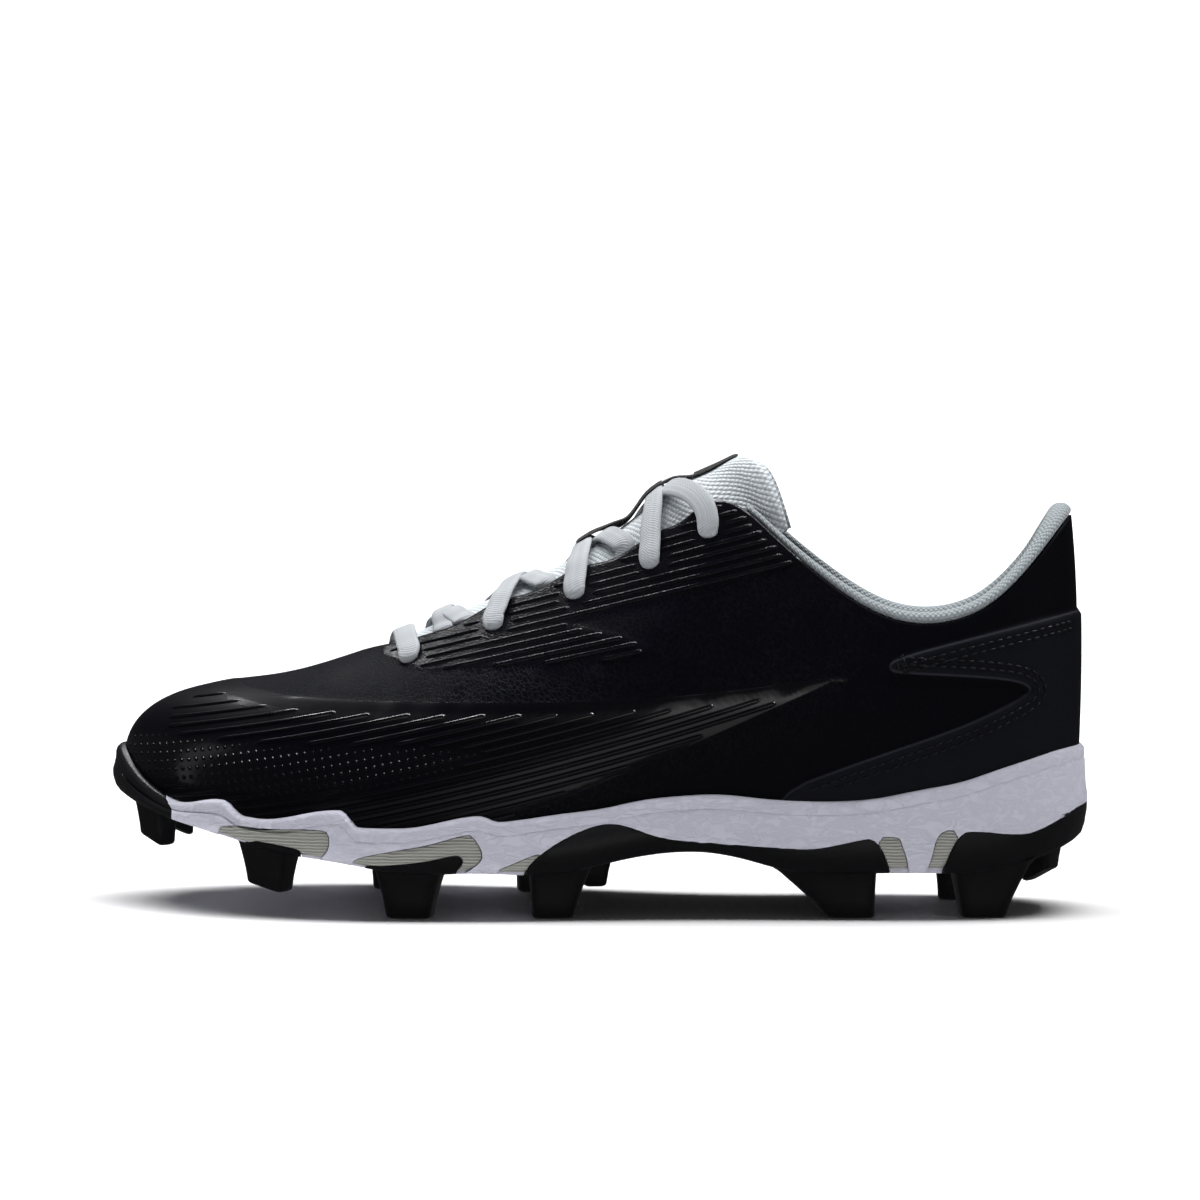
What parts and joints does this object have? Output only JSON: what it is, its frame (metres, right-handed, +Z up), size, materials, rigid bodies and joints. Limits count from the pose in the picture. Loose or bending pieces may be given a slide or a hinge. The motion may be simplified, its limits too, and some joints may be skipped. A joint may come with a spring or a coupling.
{
  "type": "softball cleat",
  "caption": "Low-cut moulded softball cleat, left shoe: black lasted upper, pale cupped midsole, grey side inserts, black studded outsole and flat grey laces.",
  "frame": {"origin": "middle of the bounding box on the floor, under the studs", "axes": "-X towards the toe, +X towards the heel, -Y the outer side, +Y the inner side, +Z up"},
  "size_m": [0.2768, 0.0986, 0.1264],
  "materials": {
    "black_synthetic": "satin, lightly grained",
    "grey_mesh": "padded knitted mesh",
    "white_foam": "moulded foam with a wrinkled skin",
    "black_rubber": "satin moulded",
    "grey_rubber": "matt, finely ribbed",
    "lace_grey": "flat woven",
    "insole_foam": "cloth over foam"
  },
  "bodies": {
    "root": {"collar_pad": "grey_mesh", "heel_counter": "black_synthetic", "insert_ball_lateral": "grey_rubber", "insert_ball_medial": "grey_rubber", "insert_front_lateral": "grey_rubber", "insert_front_medial": "grey_rubber", "insert_heel_front_lateral": "grey_rubber", "insert_heel_front_medial": "grey_rubber", "insert_heel_rear_lateral": "grey_rubber", "insert_heel_rear_medial": "grey_rubber", "insert_waist_lateral": "grey_rubber", "insert_waist_medial": "grey_rubber", "insole": "insole_foam", "lace_bar": "lace_grey", "lace_crossing_1": "lace_grey", "lace_crossing_2": "lace_grey", "lace_crossing_3": "lace_grey", "lace_crossing_4": "lace_grey", "midsole": "white_foam", "outsole_arch": "black_rubber", "outsole_ball": "black_rubber", "outsole_front": "black_rubber", "outsole_heel": "black_rubber", "outsole_toe": "black_rubber", "tongue": "grey_mesh", "upper": "black_synthetic"}
  },
  "joints": []
}
